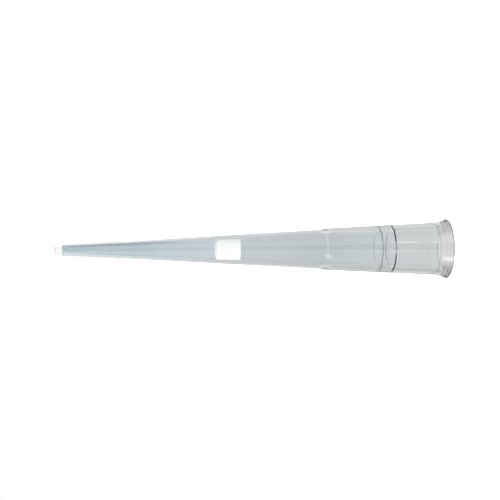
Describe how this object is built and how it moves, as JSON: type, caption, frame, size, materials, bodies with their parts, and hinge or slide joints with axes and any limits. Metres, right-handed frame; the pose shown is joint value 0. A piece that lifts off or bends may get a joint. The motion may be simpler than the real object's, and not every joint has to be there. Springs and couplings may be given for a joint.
{
  "type": "filter pipette tip",
  "caption": "Clear tapered pipette tip with a flared mouth, a collar with a nozzle seat inside, a fine outlet and a white porous filter plug in its bore.",
  "frame": {"origin": "centre of the mouth rim's face, which the tip stands on", "axes": "+Z along the tip's axis, from the mouth to the orifice; +X and +Y are equal by symmetry"},
  "size_m": [0.0076, 0.0076, 0.05],
  "materials": {
    "clear_polypropylene": "clear, slightly milky moulded plastic with a polished surface",
    "porous_polyethylene": "white sintered granules, matt"
  },
  "bodies": {
    "root": {"tip_body": "clear_polypropylene", "filter_plug": "porous_polyethylene"}
  },
  "joints": []
}
